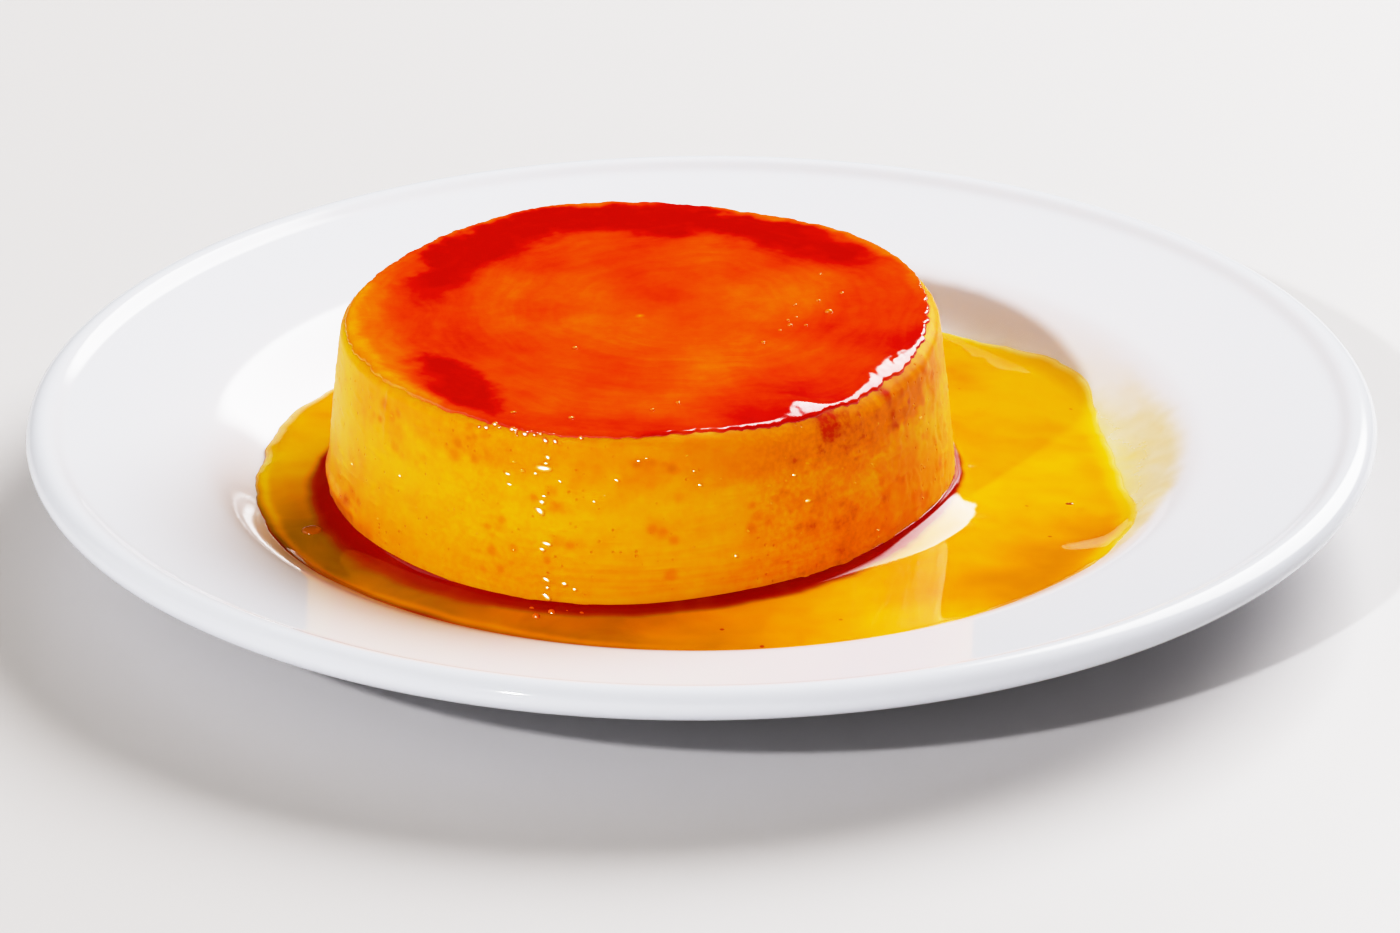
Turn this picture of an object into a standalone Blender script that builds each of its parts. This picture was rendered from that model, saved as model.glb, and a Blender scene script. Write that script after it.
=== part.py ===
"""Creme caramel flan on its plate, as a Blender 4.5 script. Metres, +Z up.

A round custard is turned out of its mould onto a rimmed white dessert plate. The soft caramel
layer from the bottom of the mould now lies on top of it, and the thin caramel runs down and
stands as a pool around its foot. Four separate pieces: plate, custard, caramel layer and sauce
pool. Nothing is fixed: each piece rests GAP clear of what carries it.

The origin is the middle of the plate's foot, on the table. The front of the plate is at -Y.
"""

import math

import bpy
from mathutils import Vector

MM = 0.001
GAP = 0.3 * MM
SEGMENTS = 72

# The plate: one piece of glazed porcelain with a sunk well, a sloping rim and a rolled lip.
PLATE_RADIUS = 108.0 * MM
PLATE_HEIGHT = 20.0 * MM
PLATE_THICKNESS = 4.6 * MM
FLOOR_HEIGHT = 7.4 * MM
FLOOR_RADIUS = 66.0 * MM
WALL_RADIUS = 81.0 * MM
WALL_HEIGHT = 14.0 * MM
RIM_SLOPE = 0.22
LIP_HALF_WIDTH = 3.0 * MM
LIP_HALF_HEIGHT = 2.6 * MM
FOOT_RADIUS = 62.0 * MM
FOOT_WIDTH = 3.0 * MM
FOOT_DEPTH = 2.6 * MM

# The flan: a low drum, a little wider at its foot, standing left of and in front of the middle.
# Its top is slightly hollow, and at the front right its edge has sunk to a wide slope.
FLAN_CENTRE = Vector((-9.6 * MM, -9.2 * MM, 0.0))
FLAN_TOP = 39.1 * MM
FLAN_FOOT_RADIUS = 50.3 * MM
FLAN_HEAD_RADIUS = 47.2 * MM
FLAN_BELLY = 0.3 * MM
FOOT_ROUNDING = 2.0 * MM
SHOULDER_ROUNDING = 2.2 * MM
CARAMEL_THICKNESS = 1.5 * MM
TOP_DISH = 0.8 * MM
SETTLED_FROM = 24.0 * MM
EDGE_SAG = 2.6 * MM
SAG_LOBE = (-48.0, 26.0, 15.0)
SAG_START = 38.5 * MM
SAG_WIDTH = 8.0 * MM

# Where the flan's outline leaves a circle: the middle, half width and softness of each lobe in
# degrees, anticlockwise from +X, and how far it stands out.
FLAN_LOBES = (
    (-106.0, 20.0, 16.0, 1.5 * MM),
    (-52.0, 24.0, 18.0, -1.5 * MM),
    (149.0, 16.0, 14.0, -1.4 * MM),
    (108.0, 14.0, 12.0, 1.2 * MM),
    (70.0, 12.0, 11.0, -0.9 * MM),
    (37.0, 12.0, 10.0, 0.8 * MM),
)

# The pool: level where the well holds it, drawn back from the wall behind and on the right,
# and drawn up a little where it meets the flan.
POOL_RADIUS = 73.4 * MM
POOL_LEVEL = 10.9 * MM
POOL_EDGE_ROUNDING = 6.0 * MM
POOL_EDGE_THICKNESS = 0.3 * MM
MENISCUS_HEIGHT = 1.2 * MM
MENISCUS_REACH = 1.8 * MM
POOL_LOBES = (
    (-143.0, 10.0, 6.0, 2.5 * MM),
    (-50.0, 18.0, 6.0, 2.2 * MM),
    (5.0, 16.0, 9.0, -8.2 * MM),
    (110.0, 66.0, 10.0, -8.0 * MM),
)


def smooth_step(value):
    """0 below 0, 1 above 1, and an even S between."""
    value = min(max(value, 0.0), 1.0)
    return value * value * (3.0 - 2.0 * value)


def lobe(angle, middle, half_width, softness):
    """1 around the middle angle and 0 away from it, turning smoothly; all in degrees but angle."""
    away = (math.degrees(angle) - middle + 180.0) % 360.0 - 180.0
    rise = math.tanh((away + half_width) / softness)
    fall = math.tanh((away - half_width) / softness)
    return 0.5 * (rise - fall) / math.tanh(half_width / softness)


def stand_out(angle, lobes):
    """How far an outline stands out from its circle at this angle."""
    return sum(amount * lobe(angle, *place) for *place, amount in lobes)


def plate_top(radius):
    """Height of the plate's upper face: flat floor, well wall and straight rim."""
    if radius <= FLOOR_RADIUS:
        return FLOOR_HEIGHT
    if radius >= WALL_RADIUS:
        return WALL_HEIGHT + RIM_SLOPE * (radius - WALL_RADIUS)
    width = WALL_RADIUS - FLOOR_RADIUS
    share = (radius - FLOOR_RADIUS) / width
    lean = width * RIM_SLOPE * (share**3 - share**2)
    return FLOOR_HEIGHT + (WALL_HEIGHT - FLOOR_HEIGHT) * smooth_step(share) + lean


def spread(first, last, count):
    """Evenly spaced values with both ends."""
    return [first + (last - first) * i / (count - 1) for i in range(count)]


def arc(centre, half_width, half_height, start, end, count):
    """Points on an ellipse in the profile plane, between two angles in degrees."""
    return [
        (centre[0] + half_width * math.cos(turn), centre[1] + half_height * math.sin(turn))
        for turn in spread(math.radians(start), math.radians(end), count)
    ]


def plate_profile():
    """The plate's section, from the middle of its floor out over the lip and back underneath."""
    lip_centre = (PLATE_RADIUS - LIP_HALF_WIDTH, PLATE_HEIGHT - LIP_HALF_HEIGHT)
    lip = arc(lip_centre, LIP_HALF_WIDTH, LIP_HALF_HEIGHT, 150.0, -90.0, 9)
    top = [(0.0, FLOOR_HEIGHT)]
    top += [(r, plate_top(r)) for r in spread(FLOOR_RADIUS, WALL_RADIUS, 8)]
    top += [(r, plate_top(r)) for r in spread(WALL_RADIUS + 7 * MM, lip[0][0] - 2 * MM, 2)]
    under = [
        (r, plate_top(r) - PLATE_THICKNESS)
        for r in (PLATE_RADIUS - 9 * MM, WALL_RADIUS, FLOOR_RADIUS + 6 * MM)
    ]
    foot_inner = FOOT_RADIUS - FOOT_WIDTH
    foot = [
        (FOOT_RADIUS + 2.0 * MM, FOOT_DEPTH + 0.4 * MM),
        (FOOT_RADIUS + 0.6 * MM, 0.6 * MM),
        (FOOT_RADIUS, 0.0),
        (foot_inner, 0.0),
        (foot_inner - 0.6 * MM, 0.6 * MM),
        (foot_inner - 1.4 * MM, FOOT_DEPTH),
        (0.0, FOOT_DEPTH),
    ]
    return top + lip + under + foot


def flan_side(height):
    """Radius of the flan's side at this height, before its lobes: tapered, with a slight belly."""
    share = (height - FLOOR_HEIGHT) / (FLAN_TOP - FLOOR_HEIGHT)
    taper = FLAN_FOOT_RADIUS + (FLAN_HEAD_RADIUS - FLAN_FOOT_RADIUS) * share
    return taper + FLAN_BELLY * math.sin(math.pi * min(max(share, 0.0), 1.0))


def flan_outline(angle):
    """How much wider than its circle the flan is at this angle, as a factor."""
    return 1.0 + stand_out(angle, FLAN_LOBES) / FLAN_FOOT_RADIUS


def shoulder(from_height, to_height, count):
    """Points down the flan's rounded top edge, between two heights on its quarter circle."""
    foot_of_arc = FLAN_TOP - SHOULDER_ROUNDING
    centre = (flan_side(foot_of_arc) - SHOULDER_ROUNDING, foot_of_arc)
    start, end = (
        math.degrees(math.asin(min((height - foot_of_arc) / SHOULDER_ROUNDING, 1.0)))
        for height in (from_height, to_height)
    )
    return arc(centre, SHOULDER_ROUNDING, SHOULDER_ROUNDING, start, end, count)


def level_face(edge_radius, height):
    """Points of a level face from the middle out, with rings where it will dish and sag."""
    return [(share * edge_radius, height) for share in (0.0, 0.4, 0.75, 0.88)]


def custard_profile():
    """Down from the custard's level top under the caramel layer to the plate's floor."""
    top = FLAN_TOP - CARAMEL_THICKNESS - GAP
    base = FLOOR_HEIGHT + GAP
    edge = shoulder(top, FLAN_TOP - SHOULDER_ROUNDING, 3)
    side = [(flan_side(z), z) for z in spread(SETTLED_FROM + 6 * MM, base + FOOT_ROUNDING, 4)]
    centre = (side[-1][0] - FOOT_ROUNDING, base + FOOT_ROUNDING)
    foot = arc(centre, FOOT_ROUNDING, FOOT_ROUNDING, -30.0, -90.0, 3)
    return [*level_face(edge[0][0], top), *edge, *side, *foot, (0.0, base)]


def caramel_profile():
    """The caramel layer: a thin disc that carries the rounded top edge of the flan."""
    base = FLAN_TOP - CARAMEL_THICKNESS
    edge = shoulder(FLAN_TOP, base, 5)
    underside = reversed(level_face(edge[-1][0], base))
    return [*level_face(edge[0][0], FLAN_TOP), *edge, *underside]


def settled(point):
    """Moves a point of the ideal round flan to where the soft one has it."""
    radius, angle = math.hypot(point.x, point.y), math.atan2(point.y, point.x)
    dish = TOP_DISH * max(1.0 - (radius / FLAN_HEAD_RADIUS) ** 2, 0.0)
    sag = EDGE_SAG * lobe(angle, *SAG_LOBE) * smooth_step((radius - SAG_START) / SAG_WIDTH)
    share = smooth_step((point.z - SETTLED_FROM) / (FLAN_TOP - CARAMEL_THICKNESS - SETTLED_FROM))
    outline = flan_outline(angle)
    return Vector((point.x * outline, point.y * outline, point.z - (dish + sag) * share))


def pool_profile():
    """The pool's section as shares: across it from the flan at 1 to the outline at 2, and up it."""
    across_top = (0.0, 0.03, 0.10, 0.30, 0.55, 0.75, 0.90, 0.97, 1.0)
    across_base = (1.0, 0.93, 0.85, 0.75, 0.60, 0.0)
    return [(1.0 + u, 1.0) for u in across_top] + [(1.0 + u, 0.0) for u in across_base]


def poured(point):
    """Moves a point of the pool's section in shares to its place between flan, plate and level."""
    angle = math.atan2(point.y, point.x)
    outwards = Vector((math.cos(angle), math.sin(angle), 0.0))
    across = math.hypot(point.x, point.y) - 1.0
    on_top = point.z > 0.5
    wall_height = POOL_LEVEL + MENISCUS_HEIGHT if on_top else FLOOR_HEIGHT + GAP
    flan_radius = flan_side(wall_height) * flan_outline(angle) + GAP
    inner = FLAN_CENTRE + flan_radius * outwards
    outer = (POOL_RADIUS + stand_out(angle, POOL_LOBES)) * outwards
    place = inner.lerp(outer, across)
    width = (outer - inner).length
    base = plate_top(place.length) + GAP
    if on_top:
        share = min(max((1.0 - across) * width / POOL_EDGE_ROUNDING, 0.0), 1.0)
        level = base + (POOL_LEVEL - base) * math.sqrt(share * (2.0 - share))
        climb = MENISCUS_HEIGHT * math.exp(-across * width / MENISCUS_REACH)
        place.z = max(level + climb, base + POOL_EDGE_THICKNESS)
    else:
        place.z = base
    return place


def finish(name, colour, roughness):
    """A plain material: colour as linear red, green, blue."""
    material = bpy.data.materials.new(name)
    material.use_nodes = True
    shader = material.node_tree.nodes["Principled BSDF"]
    shader.inputs["Base Color"].default_value = (*colour, 1.0)
    shader.inputs["Roughness"].default_value = roughness
    shader.inputs["Metallic"].default_value = 0.0
    material.diffuse_color = (*colour, 1.0)
    return material


def turned(name, profile, material, collection, closed=False):
    """A profile in the XZ plane turned about Z by a Screw modifier, as an object of its own."""
    edges = [(i, i + 1) for i in range(len(profile) - 1)]
    if closed:
        edges.append((len(profile) - 1, 0))
    mesh = bpy.data.meshes.new(name)
    mesh.from_pydata([(r, 0.0, z) for r, z in profile], edges, [])
    mesh.materials.append(material)
    piece = bpy.data.objects.new(name, mesh)
    collection.objects.link(piece)
    screw = piece.modifiers.new("Turn", "SCREW")
    screw.axis = "Z"
    screw.angle = math.tau
    screw.steps = screw.render_steps = SEGMENTS
    screw.use_merge_vertices = True
    screw.merge_threshold = 0.00001
    screw.use_smooth_shade = True
    return piece


def reshape(piece, place):
    """Fixes a turned piece's modifiers into its mesh, then moves every vertex by place()."""
    bpy.context.view_layer.update()
    graph = bpy.context.evaluated_depsgraph_get()
    mesh = bpy.data.meshes.new_from_object(piece.evaluated_get(graph), depsgraph=graph)
    mesh.name = piece.name
    piece.modifiers.clear()
    piece.data = mesh
    for vertex in mesh.vertices:
        vertex.co = place(vertex.co)
    mesh.shade_smooth()
    mesh.set_sharp_from_angle(angle=math.radians(40.0))


def main():
    for old in list(bpy.data.objects):
        bpy.data.objects.remove(old, do_unlink=True)
    collection = bpy.data.collections.new("creme_caramel_flan")
    bpy.context.scene.collection.children.link(collection)

    porcelain = finish("porcelain", (0.84, 0.86, 0.88), 0.12)
    egg_custard = finish("custard", (0.93, 0.47, 0.02), 0.25)
    caramel = finish("caramel_layer", (0.78, 0.10, 0.005), 0.12)
    sauce = finish("caramel_sauce", (0.88, 0.36, 0.01), 0.06)

    turned("plate", plate_profile(), porcelain, collection)

    for name, profile, material in (
        ("custard", custard_profile(), egg_custard),
        ("caramel_layer", caramel_profile(), caramel),
    ):
        piece = turned(name, profile, material, collection)
        reshape(piece, settled)
        piece.location = FLAN_CENTRE

    pool = turned("sauce_pool", pool_profile(), sauce, collection, closed=True)
    reshape(pool, poured)


main()
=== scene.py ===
"""A creme caramel turned out onto its plate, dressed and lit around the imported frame."""

import math

import bpy
import numpy as np
from mathutils import Euler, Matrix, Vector, noise


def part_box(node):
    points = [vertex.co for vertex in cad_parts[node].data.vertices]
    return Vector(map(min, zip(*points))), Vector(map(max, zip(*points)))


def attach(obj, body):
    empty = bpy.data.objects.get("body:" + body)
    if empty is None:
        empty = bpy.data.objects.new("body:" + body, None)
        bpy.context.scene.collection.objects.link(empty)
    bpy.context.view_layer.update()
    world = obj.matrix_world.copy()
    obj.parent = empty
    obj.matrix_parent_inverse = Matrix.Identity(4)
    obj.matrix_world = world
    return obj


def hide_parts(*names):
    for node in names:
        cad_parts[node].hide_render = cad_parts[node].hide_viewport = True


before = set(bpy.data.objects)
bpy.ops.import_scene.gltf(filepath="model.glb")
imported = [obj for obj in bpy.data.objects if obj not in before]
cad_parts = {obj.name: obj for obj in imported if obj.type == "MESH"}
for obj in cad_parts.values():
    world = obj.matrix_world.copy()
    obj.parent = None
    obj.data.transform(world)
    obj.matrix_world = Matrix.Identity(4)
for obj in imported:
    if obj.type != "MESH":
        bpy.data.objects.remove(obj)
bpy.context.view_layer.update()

MM = 0.001


# ---- The dessert plate ----
# One piece of white porcelain, pressed and fired with a clear glaze that rounds every corner. It
# has a flat well, a sloping rim with a rolled lip, and a bare foot ring ground flat after firing.

plate_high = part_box("plate")[1]
PLATE_RADIUS = plate_high.x
PLATE_HEIGHT = plate_high.z
PLATE_THICKNESS = 4.6 * MM
FLOOR_HEIGHT = 7.4 * MM
FLOOR_RADIUS = 66.0 * MM
WALL_RADIUS = 81.0 * MM
WALL_HEIGHT = 14.0 * MM
RIM_SLOPE = 0.22
LIP_HALF_WIDTH = 3.0 * MM
LIP_HALF_HEIGHT = 2.6 * MM
FOOT_RADIUS = 62.0 * MM
FOOT_WIDTH = 3.0 * MM
FOOT_DEPTH = 2.6 * MM
PLATE_COLUMNS = 288
GLAZE_STEP = 0.7 * MM
GLAZE_PASSES = 2


def smooth_step(value):
    """0 below 0, 1 above 1, and an even S between."""
    value = np.clip(value, 0.0, 1.0)
    return value * value * (3.0 - 2.0 * value)


def plate_top(radius):
    """Height of the plate's upper face: flat floor, well wall and straight rim."""
    share = np.clip((radius - FLOOR_RADIUS) / (WALL_RADIUS - FLOOR_RADIUS), 0.0, 1.0)
    lean = (WALL_RADIUS - FLOOR_RADIUS) * RIM_SLOPE * (share**3 - share**2)
    wall = FLOOR_HEIGHT + (WALL_HEIGHT - FLOOR_HEIGHT) * smooth_step(share) + lean
    return wall + RIM_SLOPE * np.maximum(radius - WALL_RADIUS, 0.0)


def arc(centre, half_width, half_height, start, end, count):
    """Points on an ellipse in the profile plane, between two angles in degrees."""
    turn = np.radians(np.linspace(start, end, count))
    across = centre[0] + half_width * np.cos(turn)
    return np.stack([across, centre[1] + half_height * np.sin(turn)], axis=1)


def resampled(points, step):
    """The same line with its points evenly spaced."""
    run = np.concatenate([[0.0], np.cumsum(np.linalg.norm(np.diff(points, axis=0), axis=1))])
    at = np.linspace(0.0, run[-1], int(run[-1] / step) + 1)
    return np.stack([np.interp(at, run, points[:, axis]) for axis in (0, 1)], axis=1)


def revolved(profile, columns):
    """Rows of points of a profile turned about Z: one row for each profile point."""
    angle = np.linspace(0.0, math.tau, columns, endpoint=False)
    radius, height = profile[:, :1], profile[:, 1:]
    flat = np.zeros((1, columns))
    return np.stack([radius * np.cos(angle), radius * np.sin(angle), height + flat], axis=2)


def placed(name, data):
    """A new object of this name in the scene."""
    made = bpy.data.objects.new(name, data)
    bpy.context.scene.collection.objects.link(made)
    return made


def ring_piece(name, rows, material, values=None, caps=(True, True), close=False, loop=True):
    """A smooth mesh from rows of points that each go once round. A cap closes an end row with a
    fan; close joins the last row to the first; without loop the rows stay open at their ends.
    values are numbers kept on the points."""
    count, columns, _ = rows.shape
    points = rows.reshape(-1, 3)
    index = np.arange(count * columns).reshape(count, columns)
    if close:
        index = np.concatenate([index, index[:1]])
    after = np.roll(index, -1, axis=1)
    quads = np.stack([index[:-1], index[1:], after[1:], after[:-1]], axis=2)
    faces = quads[:, :columns if loop else -1].reshape(-1, 4).tolist()
    for end, row in ((0, index[0]), (1, index[-1])):
        if caps[end] and not close:
            middle = len(points)
            points = np.concatenate([points, points[row].mean(axis=0)[None]])
            ahead = np.roll(row, -1) if end == 0 else row
            behind = row if end == 0 else np.roll(row, -1)
            faces += [[middle, int(a), int(b)] for a, b in zip(behind, ahead)]
    mesh = bpy.data.meshes.new(name)
    mesh.from_pydata(points.tolist(), [], faces)
    for key, field in (values or {}).items():
        field = np.broadcast_to(field, rows.shape[:2]).ravel()
        spare = np.full(len(points) - len(field), field[-1])
        layer = mesh.attributes.new(key, "FLOAT", "POINT")
        layer.data.foreach_set("value", np.concatenate([field, spare]).astype(np.float32))
    mesh.materials.append(material)
    mesh.shade_smooth()
    return placed(name, mesh)


def plate_profile():
    """The plate's section from the floor over the lip to the recess inside the foot ring."""
    lip_centre = (PLATE_RADIUS - LIP_HALF_WIDTH, PLATE_HEIGHT - LIP_HALF_HEIGHT)
    lip = arc(lip_centre, LIP_HALF_WIDTH, LIP_HALF_HEIGHT, 150.0, -90.0, 31)
    face = np.linspace(FLOOR_RADIUS - 6 * MM, lip[0, 0], 60)
    top = np.stack([face, plate_top(face)], axis=1)
    back = np.array([PLATE_RADIUS - 9 * MM, WALL_RADIUS, FLOOR_RADIUS + 6 * MM])
    under = np.stack([back, plate_top(back) - PLATE_THICKNESS], axis=1)
    inner = FOOT_RADIUS - FOOT_WIDTH
    foot = np.array([
        (FOOT_RADIUS + 2.0 * MM, FOOT_DEPTH + 0.4 * MM),
        (FOOT_RADIUS + 0.6 * MM, 0.6 * MM),
        (FOOT_RADIUS, 0.0),
        (inner, 0.0),
        (inner - 0.6 * MM, 0.6 * MM),
        (inner - 1.4 * MM, FOOT_DEPTH),
        (inner - 4.0 * MM, FOOT_DEPTH),
    ])
    line = resampled(np.concatenate([top[:-1], lip, under, foot]), GLAZE_STEP)
    for _ in range(GLAZE_PASSES):
        line[1:-1] = 0.25 * line[:-2] + 0.5 * line[1:-1] + 0.25 * line[2:]
    return line


def plug(node, inputs):
    """Sets a node's inputs, each to a value or to what comes out of another node."""
    for key, value in inputs.items():
        if isinstance(value, bpy.types.NodeSocket):
            node.id_data.links.new(value, node.inputs[key])
        else:
            node.inputs[key].default_value = value


def node_maker(tree):
    """A function that adds nodes to this tree."""

    def node(kind, inputs=None, **settings):
        made = tree.nodes.new(kind)
        for key, value in settings.items():
            setattr(made, key, value)
        plug(made, inputs or {})
        return made

    return node


def new_material(name):
    """An empty node material, its Principled shader and its node function."""
    material = bpy.data.materials.new(name)
    material.use_nodes = True
    tree = material.node_tree
    return material, tree.nodes["Principled BSDF"], node_maker(tree)


def new_group(name, inputs):
    """An empty shader group, its node function and what it is given. Its inputs have these names
    and usual values, where None stands for a place."""
    group = bpy.data.node_groups.new(name, "ShaderNodeTree")
    for title, usual in inputs.items():
        kind = "NodeSocketVector" if usual is None else "NodeSocketFloat"
        socket = group.interface.new_socket(title, in_out="INPUT", socket_type=kind)
        if usual is not None:
            socket.default_value = usual
    node = node_maker(group)
    return group, node, node("NodeGroupInput").outputs


def give_out(group, node, results, kind="NodeSocketFloat"):
    """Gives a shader group its named outputs."""
    for title in results:
        group.interface.new_socket(title, in_out="OUTPUT", socket_type=kind)
    node("NodeGroupOutput", results)


# Cloudiness is uneven colour or gloss: noise from Low to High comes out as Least to Most.
cloudiness, node, given = new_group("cloudiness", {
    "Place": None, "Scale": 100.0, "Detail": 2.0, "Roughness": 0.5, "Distortion": 0.0,
    "Low": 0.3, "High": 0.7, "Least": 0.0, "Most": 1.0,
})
cloud = node("ShaderNodeTexNoise", {
    "Vector": given["Place"], "Scale": given["Scale"], "Detail": given["Detail"],
    "Roughness": given["Roughness"], "Distortion": given["Distortion"],
})
spread = node("ShaderNodeMapRange", {
    "Value": cloud.outputs[0], "From Min": given["Low"], "From Max": given["High"],
    "To Min": given["Least"], "To Max": given["Most"],
})
give_out(cloudiness, node, {"Value": spread.outputs[0], "Cloud": cloud.outputs[0]})

material, shader, node = new_material("white_glaze")
place = node("ShaderNodeTexCoord").outputs["Object"]
height = node("ShaderNodeSeparateXYZ", {0: place}).outputs["Z"]
bare = node("ShaderNodeMapRange", {"Value": height, "From Min": 0.8 * MM, "From Max": 0.3 * MM})
clay = node("ShaderNodeTexNoise", {"Vector": place, "Scale": 900.0, "Detail": 4.0})
colour = node("ShaderNodeMix", {
    0: bare.outputs[0], 6: (0.755, 0.785, 0.85, 1.0), 7: (0.72, 0.68, 0.62, 1.0),
}, data_type="RGBA")
ripple = node("ShaderNodeGroup", {
    "Place": place, "Scale": 45.0, "Least": 0.05, "Most": 0.10,
}, node_tree=cloudiness)
rough = node("ShaderNodeMix", {0: bare.outputs[0], 2: ripple.outputs["Value"], 3: 0.75})
relief = node("ShaderNodeMix", {
    0: bare.outputs[0], 2: ripple.outputs["Cloud"], 3: clay.outputs[0],
})
bump = node("ShaderNodeBump", {"Height": relief.outputs[0], "Strength": 0.3, "Distance": 0.1 * MM})
plug(shader, {
    "Base Color": colour.outputs[2], "Roughness": rough.outputs[0], "Normal": bump.outputs[0],
    "IOR": 1.5, "Specular IOR Level": 0.35,
})

plate = ring_piece("dessert_plate", revolved(plate_profile(), PLATE_COLUMNS), material)
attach(plate, "root")
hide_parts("plate")


# ---- The custard ----
# Eggs, milk and sugar baked in a water bath until just set, then turned out upside down. It is
# soft, wet and slightly see-through, pitted where bubbles sat against the mould.

FLAN_CENTRE = np.array([-9.6 * MM, -9.2 * MM])
FLAN_TOP = 39.1 * MM
FLAN_FOOT_RADIUS = 50.3 * MM
FLAN_HEAD_RADIUS = 47.2 * MM
FLAN_BELLY = 0.3 * MM
SHOULDER_ROUNDING = 2.2 * MM
CARAMEL_THICKNESS = 1.5 * MM
TOP_DISH = 0.8 * MM
SETTLED_FROM = 24.0 * MM
EDGE_SAG = 2.6 * MM
SAG_WIDTH = 24.0 * MM
SAG_LOBE = (-48.0, 26.0, 15.0)
EDGE_LUMPS = (
    (-68.0, 5.0, 0.15),
    (-54.6, 5.0, 1.0),
    (-26.0, 10.5, 1.0),
    (-7.0, 2.2, 0.6),
    (1.5, 1.6, 0.5),
    (11.0, 2.2, 0.5),
)
FLAN_LOBES = (
    (-106.0, 20.0, 16.0, 1.5 * MM),
    (-52.0, 24.0, 18.0, -1.5 * MM),
    (149.0, 16.0, 14.0, -1.4 * MM),
    (108.0, 14.0, 12.0, 1.2 * MM),
    (70.0, 12.0, 11.0, -0.9 * MM),
    (37.0, 12.0, 10.0, 0.8 * MM),
)
FLAN_COLUMNS = 720
SIDE_ROWS = 128
SPOT_GROUPS = 95
SPOT_SEED = 7
UNDER_CARAMEL = 0.3 * MM
CUSTARD_COLOURS = {
    0.0: (1.0, 0.46, 0.002),
    0.25: (1.0, 0.355, 0.0008),
    0.5: (0.97, 0.255, 0.0005),
    0.7: (0.79, 0.205, 0.0005),
    0.85: (0.66, 0.13, 0.0005),
    1.0: (0.58, 0.030, 0.0003),
}


def lobe(angle, middle, half_width, softness):
    """1 around the middle angle and 0 away from it, turning smoothly; all in degrees."""
    away = (angle - middle + 180.0) % 360.0 - 180.0
    rise = np.tanh((away + half_width) / softness)
    fall = np.tanh((away - half_width) / softness)
    return 0.5 * (rise - fall) / math.tanh(half_width / softness)


def hump(value, middle, width):
    """1 at the middle, about a third at a width from it, and nearly 0 at two."""
    return np.exp(-(((value - middle) / width) ** 2))


def stand_out(angle, lobes):
    """How far an outline stands out from its circle at this angle."""
    return sum(amount * lobe(angle, *where) for *where, amount in lobes)


def flan_side(level):
    """Radius of the flan's side at this height, before its lobes: tapered, with a slight belly."""
    share = (level - FLOOR_HEIGHT) / (FLAN_TOP - FLOOR_HEIGHT)
    taper = FLAN_FOOT_RADIUS + (FLAN_HEAD_RADIUS - FLAN_FOOT_RADIUS) * share
    return taper + FLAN_BELLY * np.sin(math.pi * np.clip(share, 0.0, 1.0))


def flan_outline(angle):
    """How much wider than its circle the flan is at this angle, as a factor."""
    return 1.0 + stand_out(angle, FLAN_LOBES) / FLAN_FOOT_RADIUS


def lumps_at(angle):
    """How much caramel has gathered in the lower edge at this angle, from 0 to about 1."""
    return sum(size * hump(angle, middle, width) for middle, width, size in EDGE_LUMPS)


SHOULDER_START = flan_side(FLAN_TOP - SHOULDER_ROUNDING) - SHOULDER_ROUNDING
SHOULDER_LENGTH = SHOULDER_ROUNDING * math.pi / 2
SAG_EDGE = SHOULDER_START + 0.9 * MM


def edge_drop(radius, angle):
    """How far the top has sunk here: a slow slope all over, and a quick roll at each lump."""
    lumps = lumps_at(angle)
    radius = np.minimum(radius, SHOULDER_START + SHOULDER_ROUNDING)
    rolled = 0.10 + 0.40 * lumps
    roll_width = 1.0 * MM + 3.9 * MM * lumps
    slow = np.maximum((radius - SAG_EDGE) / SAG_WIDTH + 1.0, 0.0) ** 1.2
    share = np.maximum((radius - SAG_EDGE) / roll_width + 1.0, 0.0)
    quick = np.where(share < 1.0, share**2, 2.0 * share - 1.0)
    return EDGE_SAG * lobe(angle, *SAG_LOBE) * (slow + rolled * (quick - slow))


def flan_section(along):
    """Radius, height and outward lean of the round flan's skin, at a way from the middle of its
    top over the shoulder and down its side."""
    turn = np.clip((along - SHOULDER_START) / SHOULDER_ROUNDING, 0.0, math.pi / 2)
    down = np.maximum(along - SHOULDER_START - SHOULDER_LENGTH, 0.0)
    level = FLAN_TOP - SHOULDER_ROUNDING * (1.0 - np.cos(turn)) - down
    arc_radius = SHOULDER_START + SHOULDER_ROUNDING * np.sin(turn)
    radius = np.where(along < SHOULDER_START, along, arc_radius)
    radius = np.where(down > 0.0, flan_side(level), radius)
    return radius, level, np.sin(turn)


def flan_skin(along, angle, proud=0.0):
    """Points of the settled flan's skin, raised off it by proud; angle in degrees about it."""
    radius, level, lean = flan_section(along)
    dish = TOP_DISH * np.maximum(1.0 - (radius / FLAN_HEAD_RADIUS) ** 2, 0.0)
    share = smooth_step((level - SETTLED_FROM) / (FLAN_TOP - CARAMEL_THICKNESS - SETTLED_FROM))
    reach = (radius + proud * lean) * flan_outline(angle)
    turn = np.radians(angle)
    level = level - (dish + edge_drop(radius, angle)) * share + proud * np.sqrt(1.0 - lean**2)
    across = FLAN_CENTRE[0] + reach * np.cos(turn)
    away = FLAN_CENTRE[1] + reach * np.sin(turn)
    return np.stack(np.broadcast_arrays(across, away, level), axis=-1)


def waves(points, size, seed, octaves=1):
    """Even noise of about -0.5 to 0.5 at each point, with bumps of this size, or of three sizes
    along the axes."""
    scaled = points.reshape(-1, 3) / np.array(size) + 31.7 * seed
    if octaves == 1:
        values = [noise.noise(Vector(p)) for p in scaled]
    else:
        values = [noise.fractal(Vector(p), 0.9, 2.0, octaves) for p in scaled]
    return np.array(values).reshape(points.shape[:-1])


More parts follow.
